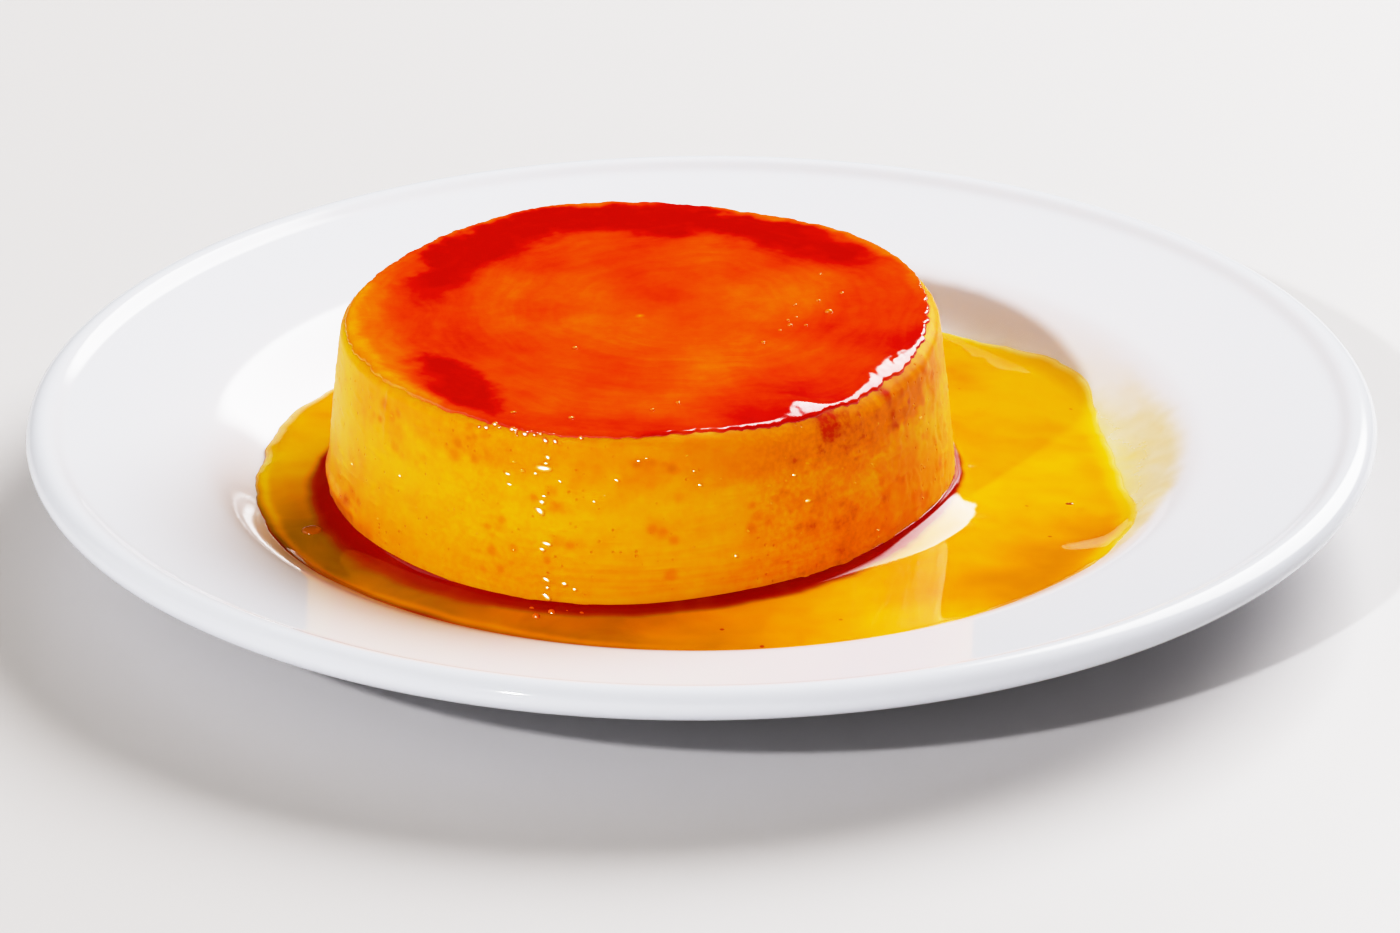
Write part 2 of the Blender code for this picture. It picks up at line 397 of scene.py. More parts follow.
def rolled_out(along, angle, radius=48.0 * MM):
    """The flan's side as a straight tube, so that noise can be stretched round it or down it."""
    turn = np.radians(angle)
    return np.stack([
        radius * np.cos(turn) + 0.0 * along,
        radius * np.sin(turn) + 0.0 * along,
        along + 0.0 * angle,
    ], axis=-1)


def above(level, height, blur):
    """0 up to this height or radius and 1 from a blur past it, both in mm."""
    return smooth_step((level / MM - height) / blur)


def below(level, height, blur):
    """0 down to this height or radius and 1 from a blur short of it, both in mm."""
    return smooth_step((height - level / MM) / blur)


def side_way(level):
    """The way from the middle of the top down the side to this height."""
    return SHOULDER_START + SHOULDER_LENGTH + FLAN_TOP - SHOULDER_ROUNDING - level


def all_round(columns):
    """Even angles all the way round, in degrees."""
    return np.linspace(-180.0, 180.0, columns, endpoint=False)[None, :]


flan_angle = all_round(FLAN_COLUMNS)
side_end = side_way(FLOOR_HEIGHT)
side_along = np.concatenate([
    np.linspace(30 * MM, SHOULDER_START - 7 * MM, 3),
    np.linspace(SHOULDER_START - 6 * MM, side_end, SIDE_ROWS),
])[:, None]
flat_side = rolled_out(side_along, flan_angle)
side_level = flan_section(side_along)[1]
on_side = smooth_step((side_along - SHOULDER_START) / SHOULDER_LENGTH)

# Noise drawn out round the side or down it, for the skin's relief and its stains.
swell = waves(flat_side, (13 * MM, 13 * MM, 10 * MM), 1)
flow = waves(flat_side, (15 * MM, 15 * MM, 0.8 * MM), 2)
drip = waves(flat_side, (1.5 * MM, 1.5 * MM, 7 * MM), 3)
mottle = waves(flat_side, (3.0 * MM, 3.0 * MM, 2.4 * MM), 4, 3)
cloudy = waves(flat_side, (16 * MM, 16 * MM, 9 * MM), 9, 2)
ridges = smooth_step((waves(flat_side, (3.4 * MM, 3.4 * MM, 0.9 * MM), 10) - 0.22) / 0.3)
low_front = lobe(flan_angle, -80.0, 34.0, 12.0) * below(side_level, 26.0, 8.0)
wet_side = lobe(flan_angle, -32.0, 26.0, 8.0)
patch_noise = waves(flat_side, (4.5 * MM, 4.5 * MM, 7 * MM), 11, 3)
wet_patch = smooth_step((patch_noise + 0.02) / 0.06) * wet_side

# Small pits in loose groups, where bubbles sat against the mould.
spots = np.zeros(flat_side.shape[:2])
chance = np.random.RandomState(SPOT_SEED)
for _ in range(SPOT_GROUPS):
    group_angle = chance.uniform(-180.0, 180.0)
    group_along = chance.uniform(SHOULDER_START + 5 * MM, side_end - 2.0 * MM)
    for _ in range(chance.randint(1, 6)):
        size = chance.uniform(0.45, 1.05) * MM
        at = group_angle + chance.normal(0.0, 2.2)
        down = group_along + chance.normal(0.0, 1.2 * MM)
        aside = np.radians((flan_angle - at + 180.0) % 360.0 - 180.0) * FLAN_HEAD_RADIUS
        gap = ((aside / size) ** 2 + ((side_along - down) / size) ** 2) ** 1.5
        spots = np.maximum(spots, np.exp(-gap) * chance.uniform(0.3, 1.0))

# The skin's relief: swells and ridges, flow marks low at the front, drips and wet patches at
# the right, one crease at the front left, and a lip at the left a little above the sauce.
crease = hump(flan_angle, -144.5, 0.5) * above(side_level, 27.0, 6.0)
flap = lobe(flan_angle, -170.0, 17.0, 5.0) * hump(side_level, 14.2 * MM, 1.1 * MM)
proud = 0.14 * MM * swell + 0.04 * MM * flow * low_front + 0.09 * MM * ridges
proud += (0.03 * MM * drip + 0.05 * MM * mottle) * wet_side + 0.12 * MM * wet_patch
proud += 0.03 * MM * mottle - 0.07 * MM * spots + 0.14 * MM * crease + 0.5 * MM * flap
proud = proud * on_side - UNDER_CARAMEL * (1.0 - on_side)

# How far syrup has soaked in, from 0 to 1: more near the top and where the foot stands in it.
warp = waves(flat_side, 6 * MM, 16, 3)
bent_angle = flan_angle + 6.0 * patch_noise
bent_level = side_level + 4.0 * MM * warp
soaked = 0.27 + 0.15 * above(bent_level, 29.0, 5.0) + 0.12 * below(side_level, 14.0, 4.0)

# At the right, syrup from the bead above has left stains of its own and washed others pale.
soaked += 0.09 * lobe(bent_angle, -48.0, 30.0, 8.0)
soaked += 0.16 * lobe(bent_angle, -45.5, 7.0, 2.0) * above(bent_level, 23.0, 4.0)
soaked += 0.22 * lobe(bent_angle, -30.0, 5.0, 1.2) * above(bent_level, 30.0, 1.5)
soaked += 0.15 * lobe(bent_angle, -39.0, 15.0, 3.0) * below(bent_level, 18.0, 3.0)
soaked += 0.30 * drip * lobe(flan_angle, -22.0, 15.0, 5.0) * above(side_level, 24.0, 6.0)
soaked += 0.12 * wet_patch * (0.4 + mottle)
soaked -= 0.22 * lobe(bent_angle, -43.0, 4.0, 1.6) * hump(bent_level, 24 * MM, 3 * MM)
soaked -= 0.24 * lobe(bent_angle, -22.0, 6.0, 1.6) * hump(bent_level, 27 * MM, 5 * MM)
soaked -= 0.10 * lobe(flan_angle, -8.0, 12.0, 6.0)

# The front is pale half way up. At the left the foot is brown, and the side above it is painted
# paler, a painted sheen of light.
upper = above(bent_level, 18.0, 8.0)
soaked -= 0.15 * lobe(flan_angle, -100.0, 34.0, 10.0) * hump(bent_level, 25 * MM, 5 * MM)
soaked += 0.42 * lobe(bent_angle, -166.0, 16.0, 6.0) * below(bent_level, 17.0, 5.0)
# Painted sheen: the upper left side is painted paler, standing in for light on it.
soaked -= 0.13 * lobe(bent_angle, -149.0, 18.0, 6.0) * upper
soaked -= 0.30 * lobe(flan_angle, -169.0, 10.0, 3.0) * upper

# Clouds, mottling and pits all over, and one dark patch under the bead.
dark_patch = hump(flan_angle, -50.6, 2.7) * hump(side_level, 38.3 * MM, 2.6 * MM)
soaked += 0.09 * cloudy + 0.06 * mottle + 0.34 * spots + 0.62 * dark_patch
soaked = np.clip(soaked, 0.0, 1.0)
grain = 0.1 + 0.6 * lobe(bent_angle, -52.0, 16.0, 5.0) + 0.25 * lobe(bent_angle, -116.0, 12.0, 5.0)
# Where fine level lines are painted into the colour: partly real flow marks, partly painted sheen on
# the ridges.
flow_and_sheen_streaks = low_front + 0.3 * lobe(flan_angle, 90.0, 80.0, 20.0)

# Scattered spots are round marks in a few cells: the higher the Rarity, the fewer. Each fades in
# from Outer to Inner.
scattered_spots, node, given = new_group("scattered_spots", {
    "Place": None, "Scale": 500.0, "Rarity": 0.9, "Outer": 0.2, "Inner": 0.1,
})
cell = node("ShaderNodeTexVoronoi", {"Vector": given["Place"], "Scale": given["Scale"]})
lot = node("ShaderNodeSeparateColor", {0: cell.outputs["Color"]})
sure = node("ShaderNodeMath", {0: given["Rarity"], 1: 0.02}, operation="ADD")
chosen = node("ShaderNodeMapRange", {
    "Value": lot.outputs[0], "From Min": given["Rarity"], "From Max": sure.outputs[0],
})
mark = node("ShaderNodeMapRange", {
    "Value": cell.outputs["Distance"], "From Min": given["Outer"], "From Max": given["Inner"],
}, interpolation_type="SMOOTHSTEP")
spot = node("ShaderNodeMath", {0: mark.outputs[0], 1: chosen.outputs[0]}, operation="MULTIPLY")
give_out(scattered_spots, node, {"Spot": spot.outputs[0]})

# Fine skin is the faint roughness of a soft set surface, as a normal.
fine_skin, node, given = new_group("fine_skin", {"Place": None, "Scale": 1000.0})
fine = node("ShaderNodeTexNoise", {
    "Vector": given["Place"], "Scale": given["Scale"], "Detail": 3.0,
})
skin = node("ShaderNodeBump", {"Height": fine.outputs[0], "Strength": 0.15, "Distance": 0.1 * MM})
give_out(fine_skin, node, {"Normal": skin.outputs[0]}, "NodeSocketVector")


def painted(node, name):
    """The numbers kept on a piece's points under this name."""
    return node("ShaderNodeAttribute", attribute_name=name).outputs["Fac"]


def colour_ramp(node, value, colours):
    """The colour for a value from 0 to 1, blended between those listed for some of its values."""
    ramp = node("ShaderNodeValToRGB", {0: value})
    stops = ramp.color_ramp.elements
    stops[0].color = (*colours[0.0], 1.0)
    stops[1].color = (*colours[1.0], 1.0)
    for at, colour in colours.items():
        if 0.0 < at < 1.0:
            stops.new(at).color = (*colour, 1.0)
    return ramp.outputs[0]


material, shader, node = new_material("egg_custard")
place = node("ShaderNodeTexCoord").outputs["Object"]
soak = painted(node, "soak")
clouds = node("ShaderNodeGroup", {
    "Place": place, "Scale": 420.0, "Detail": 5.0, "Roughness": 0.6, "Least": -0.06, "Most": 0.06,
}, node_tree=cloudiness)
coarse = painted(node, "grain")
crumbs = node("ShaderNodeGroup", {
    "Place": place, "Scale": 1300.0, "Detail": 3.0, "Low": 0.35, "High": 0.65,
    "Least": -0.15, "Most": 0.15,
}, node_tree=cloudiness)
# Fine level lines in the colour, low at the front and round the back: partly real flow marks, partly
# painted sheen on the fine ridges.
flow_and_sheen_mask = painted(node, "flow_and_sheen_streaks")
drawn = node("ShaderNodeMapping", {"Vector": place, "Scale": (60.0, 60.0, 1500.0)})
flow_and_sheen_lines = node("ShaderNodeGroup", {
    "Place": drawn.outputs[0], "Scale": 1.0, "Low": 0.35, "High": 0.65,
    "Least": -0.06, "Most": 0.06,
}, node_tree=cloudiness)
coarse_tint = node("ShaderNodeMath", {
    0: crumbs.outputs["Value"], 1: coarse, 2: clouds.outputs["Value"],
}, operation="MULTIPLY_ADD")
lined_tint = node("ShaderNodeMath", {
    0: flow_and_sheen_lines.outputs["Value"], 1: flow_and_sheen_mask, 2: coarse_tint.outputs[0],
}, operation="MULTIPLY_ADD")
tint = node("ShaderNodeMath", {0: soak, 1: lined_tint.outputs[0]}, operation="ADD")
colour = colour_ramp(node, tint.outputs[0], CUSTARD_COLOURS)
dots = node("ShaderNodeGroup", {
    "Place": place, "Scale": 900.0, "Rarity": 0.74, "Outer": 0.28, "Inner": 0.10,
}, node_tree=scattered_spots)
region = node("ShaderNodeTexNoise", {"Vector": place, "Scale": 75.0, "Detail": 1.0})
busy = node("ShaderNodeMapRange", {"Value": region.outputs[0], "From Min": 0.42, "From Max": 0.55})
pinhole = node("ShaderNodeMath", {
    0: dots.outputs["Spot"], 1: busy.outputs[0],
}, operation="MULTIPLY")
shaded = node("ShaderNodeMath", {0: pinhole.outputs[0], 1: 0.4}, operation="MULTIPLY")
brown = node("ShaderNodeMix", {
    0: shaded.outputs[0], 6: colour, 7: (0.62, 0.13, 0.001, 1.0),
}, data_type="RGBA")
skin = node("ShaderNodeGroup", {"Place": place, "Scale": 1100.0}, node_tree=fine_skin)
hole_bump = node("ShaderNodeBump", {
    "Height": pinhole.outputs[0], "Strength": 0.8, "Distance": 0.16 * MM,
    "Normal": skin.outputs["Normal"],
}, invert=True)
plug(shader, {
    "Base Color": brown.outputs[2], "Roughness": 0.36, "Normal": hole_bump.outputs[0],
    "IOR": 1.36, "Specular IOR Level": 0.13, "Specular Tint": (1.0, 0.62, 0.12, 1.0),
    "Subsurface Weight": 0.5, "Subsurface Radius": (1.0, 0.45, 0.08),
    "Subsurface Scale": 2.5 * MM,
})

custard = ring_piece(
    "custard_body", flan_skin(side_along, flan_angle, proud), material,
    {"soak": soaked, "grain": grain, "flow_and_sheen_streaks": flow_and_sheen_streaks},
)
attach(custard, "root")
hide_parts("custard")


# ---- The caramel layer ----
# Sugar cooked to caramel set in the bottom of the mould and soaked into the custard above it.
# Turned out, it is a soft glossy skin on top, gathered into a thick bead along the lower edge.

LAYER_COLUMNS = 840
LAYER_ROWS = 58
LAYER_SKIN = 0.12 * MM
LAYER_OVERHANG = 1.5 * MM
BEAD_LOBE = (-36.0, 52.0, 5.0)
BEAD_HELD_BACK = 1.05 * MM
SWIRL_CENTRE = (FLAN_CENTRE[0] + 7.0 * MM, FLAN_CENTRE[1] + 3.0 * MM, 0.0)
CARAMEL_COLOURS = {
    0.0: (1.0, 0.34, 0.002),
    0.2: (0.95, 0.19, 0.001),
    0.4: (0.92, 0.105, 0.0005),
    0.6: (0.85, 0.045, 0.0003),
    0.8: (0.62, 0.004, 0.0001),
    1.0: (0.47, 0.0001, 0.0),
}

layer_angle = all_round(LAYER_COLUMNS)
edge_ring = rolled_out(0.0, layer_angle)
edge_noise = waves(edge_ring, 2.2 * MM, 5, 3)
fine_edge = waves(edge_ring, 1.5 * MM, 15, 2)

# Where the layer ends, on the shoulder. Along the bead it ends higher and more unevenly.
bead_zone = lobe(layer_angle, *BEAD_LOBE)
edge_at = SHOULDER_START + LAYER_OVERHANG - BEAD_HELD_BACK * bead_zone + 0.5 * MM * edge_noise
edge_at += 0.3 * MM * fine_edge * bead_zone
share = np.concatenate([
    np.linspace(0.02, 0.85, LAYER_ROWS), np.linspace(0.85, 1.0, LAYER_ROWS)[1:],
])[:, None]
layer_along = share * edge_at
top_points = flan_skin(layer_along, layer_angle)
to_edge = edge_at - layer_along

# How far its face stands off the custard: less at the left, uneven at the lumps, crumpled at
# the back, and sharply down at the edge.
bead_swell = waves(top_points, 2.2 * MM, 6, 2)
bead = 0.14 * MM * lumps_at(layer_angle) * bead_swell * hump(to_edge, 1.6 * MM, 1.4 * MM)
ripple = waves(top_points, (11 * MM, 5 * MM, 9 * MM), 7, 2)
edge_fall = np.exp(-to_edge / (0.14 * MM))
thin_left = lobe(layer_angle, -160.0, 60.0, 16.0)
crumple = lobe(layer_angle, 95.0, 60.0, 15.0) * np.exp(-to_edge / (2.0 * MM))
layer_proud = LAYER_SKIN - 0.08 * MM * thin_left + 0.04 * MM * ripple + bead - 0.26 * MM * edge_fall
layer_proud += 0.25 * MM * crumple * edge_noise

# Past its edge the layer turns under, into the custard.
rows = np.concatenate([
    flan_skin(layer_along, layer_angle, layer_proud),
    flan_skin(edge_at + 0.2 * MM, layer_angle, -0.5 * MM),
    flan_skin(0.9 * edge_at, layer_angle, -0.9 * MM),
])

material, shader, node = new_material("soft_caramel")
place = node("ShaderNodeTexCoord").outputs["Object"]
depth = painted(node, "depth")
flecks = node("ShaderNodeGroup", {
    "Place": place, "Scale": 420.0, "Detail": 6.0, "Roughness": 0.7, "Least": -0.06, "Most": 0.06,
}, node_tree=cloudiness)
off_centre = node("ShaderNodeVectorMath", {0: place, 1: SWIRL_CENTRE}, operation="SUBTRACT")
spread = node("ShaderNodeVectorMath", {
    0: off_centre.outputs[0], 1: (1.0, 1.0, 0.0),
}, operation="MULTIPLY")
turned = node("ShaderNodeVectorMath", {0: spread.outputs[0]}, operation="LENGTH")
wander = node("ShaderNodeTexNoise", {"Vector": place, "Scale": 45.0, "Detail": 2.0})
bend = node("ShaderNodeMath", {
    0: wander.outputs[0], 1: 16.0 * MM, 2: turned.outputs["Value"],
}, operation="MULTIPLY_ADD")
rings = node("ShaderNodeMath", {0: bend.outputs[0], 1: 9.0}, operation="MULTIPLY")
stirred = node("ShaderNodeCombineXYZ", {"Z": rings.outputs[0]})
stretched = node("ShaderNodeVectorMath", {
    0: spread.outputs[0], 1: stirred.outputs[0],
}, operation="ADD")
stirs = node("ShaderNodeGroup", {
    "Place": stretched.outputs[0], "Scale": 75.0, "Detail": 4.0, "Least": -0.05, "Most": 0.05,
}, node_tree=cloudiness)
still = node("ShaderNodeMapRange", {
    "Value": turned.outputs["Value"], "From Min": 4.0 * MM, "From Max": 22.0 * MM,
}, interpolation_type="SMOOTHSTEP")
flecked = node("ShaderNodeMath", {
    0: stirs.outputs["Value"], 1: still.outputs[0], 2: flecks.outputs["Value"],
}, operation="MULTIPLY_ADD")
tint = node("ShaderNodeMath", {0: depth, 1: flecked.outputs[0]}, operation="ADD")
colour = colour_ramp(node, tint.outputs[0], CARAMEL_COLOURS)
skin = node("ShaderNodeGroup", {"Place": place, "Scale": 500.0}, node_tree=fine_skin)
plug(shader, {
    "Base Color": colour, "Roughness": 0.08, "Normal": skin.outputs["Normal"], "IOR": 1.55,
    "Subsurface Weight": 0.15, "Subsurface Radius": (1.0, 0.3, 0.05),
    "Subsurface Scale": 2.0 * MM,
})

# How deep the caramel's colour is, from 0, pale, to 1. The drift bends the edge of each patch.
# Two patches, near the middle and at the front, are brighter.
drift = waves(top_points, 12 * MM, 12, 2)
layer_radius = share * 47.0 * MM + 2.0 * MM * drift
paint_angle = layer_angle + 7.0 * drift
across, away = top_points[..., 0], top_points[..., 1]
glow = hump(across, -14 * MM, 20 * MM) * hump(away, -27 * MM, 9 * MM)
glow += 0.7 * hump(across, 9 * MM, 16 * MM) * hump(away, -3 * MM, 12 * MM)

# A dark crescent round the back, not far inside the edge.
ring_middle = 39.6 * MM + 1.4 * MM * lobe(paint_angle, 98.0, 22.0, 14.0)
ring_middle -= 2.3 * MM * lobe(paint_angle, 165.0, 20.0, 10.0)
ring_off = layer_radius - ring_middle + 3.0 * MM * waves(top_points, 5 * MM, 18, 3)
ring_edge = np.where(
    ring_off > 0.0, (7.0 * MM - ring_off) / (4.5 * MM), (9.5 * MM + ring_off) / (9.5 * MM),
)
ring_strength = 0.56 * lobe(paint_angle, 98.0, 68.0, 11.0) - 0.20 * lobe(paint_angle, 34.0, 18.0, 9.0)
crescent = ring_strength * smooth_step(ring_edge)

# A dark slanting blotch at the front left.
blotch_y = away - FLAN_CENTRE[1] + 27.5 * MM
blotch_x = across - FLAN_CENTRE[0] + 28.8 * MM + 0.40 * blotch_y
blotch_off = np.hypot(blotch_x / 0.55, blotch_y) + 3.0 * MM * waves(top_points, 4 * MM, 19, 3)
blotch = below(blotch_off, 14.0, 7.0)

# The rims: deeper at the front and right, paler at the left, inside it a deep band, and paler
# in a narrow margin at the back.
front_rim = lobe(paint_angle, -88.0, 40.0, 12.0) * above(layer_radius, 36.0, 9.0)
right_rim = lobe(paint_angle, -30.0, 50.0, 20.0) * above(layer_radius, 25.0, 18.0)
left_band = lobe(paint_angle, -166.0, 26.0, 14.0) * hump(layer_radius, 32 * MM, 6 * MM)
left_margin = lobe(paint_angle, -167.0, 31.0, 7.0) * above(layer_radius, 36.0, 8.0)
left_rim = lobe(paint_angle, -166.0, 40.0, 10.0) * above(layer_radius, 43.5, 3.0)
back_margin = lobe(paint_angle, 72.0, 62.0, 6.0) * above(layer_radius, 44.3, 1.6)
rows_depth = 0.52 + 0.20 * drift - 0.13 * glow + crescent + 0.58 * blotch
rows_depth += 0.17 * left_band + 0.14 * front_rim + 0.16 * right_rim
rows_depth *= (1.0 - 0.54 * left_margin) * (1.0 - 0.75 * left_rim) * (1.0 - 0.55 * back_margin)
rows_depth = np.clip(rows_depth, 0.0, 1.0)
rows_depth = np.concatenate([rows_depth, rows_depth[-1:], rows_depth[-1:]])
layer = ring_piece("caramel_top", rows, material, {"depth": rows_depth})
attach(layer, "root")
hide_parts("caramel_layer")


# ---- The sauce pool ----
# Thin caramel syrup that ran down when the mould was lifted. It fills the well to one level, is
# drawn up where it touches the custard, and ends in a rounded edge where the floor is dry.

POOL_RADIUS = 73.4 * MM
POOL_LEVEL = 10.9 * MM
POOL_EDGE_ROUNDING = 6.0 * MM
POOL_TAPER = 28.0 * MM
MENISCUS_HEIGHT = 1.2 * MM
MENISCUS_REACH = 1.8 * MM
POOL_LOBES = (
    (-143.0, 10.0, 6.0, 2.5 * MM),
    (-50.0, 18.0, 6.0, 2.2 * MM),
    (5.0, 16.0, 9.0, -6.8 * MM),
    (103.0, 57.0, 19.0, -8.0 * MM),
    (-179.0, 8.0, 9.0, -1.7 * MM),
)
POOL_COLUMNS = 540
POOL_ROWS = 96
SYRUP_COLOURS = {
    0.0: (1.0, 0.72, 0.38),
    0.12: (1.0, 0.54, 0.08),
    0.22: (1.0, 0.46, 0.004),
    0.44: (1.0, 0.39, 0.001),
    0.6: (0.90, 0.27, 0.0005),
    0.76: (0.50, 0.175, 0.0005),
    0.88: (0.43, 0.04, 0.0004),
    1.0: (0.34, 0.0015, 0.0002),
}

pool_angle = all_round(POOL_COLUMNS)
turn = np.radians(pool_angle)
outwards = np.stack([np.cos(turn), np.sin(turn)], axis=-1)
inner_radius = flan_side(POOL_LEVEL) * flan_outline(pool_angle) - 0.5 * MM
inner = FLAN_CENTRE + inner_radius[..., None] * outwards
pool_wobble = waves(rolled_out(0.0, pool_angle, 70 * MM), 7 * MM, 8, 3)
outer_radius = POOL_RADIUS + stand_out(pool_angle, POOL_LOBES) + 0.5 * MM * pool_wobble
outer = outer_radius[..., None] * outwards
share = (1.0 - np.cos(np.linspace(0.0, math.pi, POOL_ROWS)))[:, None] / 2.0
pool_plan = inner + share[..., None] * (outer - inner)
width = np.linalg.norm(outer - inner, axis=-1)
radius = np.linalg.norm(pool_plan, axis=-1)
base = plate_top(radius) - 0.05 * MM
from_flan = np.maximum(share * width - 0.5 * MM, 0.0)
from_edge = (1.0 - share) * width

# Its level face rounds down at the edge. At the right it thins out slowly instead, and at the
# front right it runs flush into the wall.
shallow = lobe(pool_angle, 12.0, 42.0, 7.0)
flush = lobe(pool_angle, -54.0, 22.0, 6.0)
edge_share = np.clip(from_edge / POOL_EDGE_ROUNDING, 0.0, 1.0)
rounded = np.sqrt(edge_share * (2.0 - edge_share))
tapered = np.clip(0.03 + 0.97 * from_edge / POOL_TAPER, 0.0, 1.0)
level = base + (POOL_LEVEL - base) * (rounded + shallow * (tapered - rounded))
level += flush * (POOL_LEVEL - level)

# It never gets thinner than the film that clings to the glaze.
thin = np.sqrt(np.clip(from_edge / (1.2 * MM), 0.0, 1.0))
wall_film = base + (0.35 - 0.25 * np.maximum(flush, shallow)) * MM * thin
joined = (level + wall_film + np.sqrt((level - wall_film) ** 2 + (0.35 * MM * thin) ** 2)) / 2.0

# It climbs the custard in a small curve, and at the right front in a long slope.
drawn_up = lobe(pool_angle, -36.0, 44.0, 10.0)
climb = MENISCUS_HEIGHT * np.exp(-from_flan / MENISCUS_REACH)
reach_out = 2.2 * MM + 3.2 * MM * lobe(pool_angle, -24.0, 16.0, 9.0)
slope_up = 0.34 * reach_out * np.maximum(1.0 - from_flan / reach_out, 0.0) ** 1.3
slope_up += 0.7 * MM * np.exp(-from_flan / (0.4 * MM))
climb += drawn_up * (slope_up - climb)
pool_top = np.concatenate([pool_plan, (joined + climb)[..., None]], axis=-1)
pool_base = np.concatenate([pool_plan, (base - 0.2 * MM)[..., None]], axis=-1)[::-8]

material, shader, node = new_material("caramel_syrup")
place = node("ShaderNodeTexCoord").outputs["Object"]
strength = painted(node, "strength")
clouds = node("ShaderNodeGroup", {
    "Place": place, "Scale": 90.0, "Detail": 4.0, "Distortion": 0.8, "Least": -0.04, "Most": 0.04,
}, node_tree=cloudiness)
specks = node("ShaderNodeGroup", {
    "Place": place, "Scale": 330.0, "Rarity": 0.93, "Outer": 0.16, "Inner": 0.06,
}, node_tree=scattered_spots)
specked = node("ShaderNodeMath", {
    0: specks.outputs["Spot"], 1: 0.22, 2: clouds.outputs["Value"],
}, operation="MULTIPLY_ADD")
tint = node("ShaderNodeMath", {0: strength, 1: specked.outputs[0]}, operation="ADD")
colour = colour_ramp(node, tint.outputs[0], SYRUP_COLOURS)
# Painted shade: the syrup at the left is darkened towards olive where the custard shades it from the
# window.
shaded = painted(node, "shade")
painted_shade_olive = node("ShaderNodeMix", {
    0: shaded, 6: colour, 7: (0.70, 1.0, 1.0, 1.0),
}, data_type="RGBA", blend_type="MULTIPLY")
plug(shader, {
    "Base Color": painted_shade_olive.outputs[2], "Roughness": 0.03, "IOR": 1.36, "Subsurface Weight": 0.3,
    "Subsurface Radius": (1.0, 0.5, 0.05), "Subsurface Scale": 4.0 * MM,
})

# How strong its colour is, from 0, clear, to 1: a dark band at the custard's foot, partly deep
# syrup and partly painted shade and painted reflection, brown at the front left, and clear where
# it drained off the right edge. The left edge is a painted dark line of shade with a painted
# bright line of caustic light inside it.
# Painted shade: the dark foot band is partly deep syrup and partly painted shade and reflection where
# the syrup meets the custard.
foot_reach = 3.3 * MM + 2.6 * MM * lobe(pool_angle, -150.0, 30.0, 16.0) + 0.5 * MM * pool_wobble
foot_reach -= 1.5 * MM * lobe(pool_angle, 15.0, 45.0, 14.0)
foot = smooth_step(1.55 * (1.0 - from_flan / foot_reach))
far_right = lobe(pool_angle, -22.0, 30.0, 10.0) * above(radius, 55.0, 12.0)
left_edge_painted_light = lobe(pool_angle, -140.0, 42.0, 8.0)
strength = 0.31 + 0.37 * lobe(pool_angle, -121.0, 43.0, 9.0) + 0.15 * far_right
strength += 0.08 * lobe(pool_angle, 175.0, 26.0, 10.0) + 0.04 * lobe(pool_angle, -152.0, 13.0, 7.0)
strength += 0.04 * lobe(pool_angle, -10.0, 50.0, 12.0) + 0.06 * lobe(pool_angle, -43.0, 18.0, 10.0)
strength += 0.12 * waves(pool_top, 14 * MM, 20, 3)
# Painted shade and light: a dark line of painted shade at the left edge, and a painted bright caustic
# line just inside it.
strength += 0.25 * left_edge_painted_light * np.exp(-from_edge / (0.5 * MM))
strength -= 0.22 * left_edge_painted_light * hump(from_edge, 1.7 * MM, 0.8 * MM)
strength += (1.0 - strength) * foot
strength = 0.2 + 0.8 * strength
strength *= 1.0 - 0.85 * hump(from_edge, 0.0, 2.2 * MM) * lobe(pool_angle, 14.0, 48.0, 6.0)
# Painted shade: how much darker and more olive the syrup at the left is painted, where the custard
# shades it from the window; not in the foot band.
shade = lobe(pool_angle, -163.0, 36.0, 16.0) * (1.0 - foot)
strength_rows = np.concatenate([strength, strength[::-8]])
painted_shade_rows = np.concatenate([shade, shade[::-8]])
pool = ring_piece(
    "syrup_pool", np.concatenate([pool_top, pool_base]), material,
    {"strength": strength_rows, "shade": painted_shade_rows}, close=True,
)
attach(pool, "root")
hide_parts("sauce_pool")


# ---- The syrup film ----
# The pool once stood higher on the right. Where it drained back it left a thin see-through
# coat of syrup on the well's wall.

FILM_ANGLES = (-42.0, 56.0)
FILM_FADE = 8.0
FILM_RADIUS = 76.6 * MM
FILM_UNDER_POOL = 3.0 * MM
FILM_THICKNESS = 0.12 * MM
FILM_COLUMNS = 200
FILM_ROWS = 40
FILM_COLOUR = (0.95, 0.74, 0.18, 1.0)
FILM_DEEP_COLOUR = (0.95, 0.62, 0.08, 1.0)

film_angle = np.linspace(*FILM_ANGLES, FILM_COLUMNS)[None, :]
film_turn = np.radians(film_angle)
film_inner = POOL_RADIUS + stand_out(film_angle, POOL_LOBES) - FILM_UNDER_POOL
film_share = np.linspace(0.0, 1.0, FILM_ROWS)[:, None]
film_wobble = waves(rolled_out(0.0, film_angle, 76 * MM), 4 * MM, 14, 3)
film_edge = FILM_RADIUS + 2.6 * MM * hump(film_angle, 2.0, 20.0) + 0.7 * MM * film_wobble
film_edge += 1.5 * MM * hump(film_angle, 40.0, 16.0)
film_radius = film_inner + film_share * (film_edge - film_inner)
film_level = plate_top(film_radius) + FILM_THICKNESS
film_rows = np.stack([
    film_radius * np.cos(film_turn), film_radius * np.sin(film_turn), film_level,
], axis=-1)

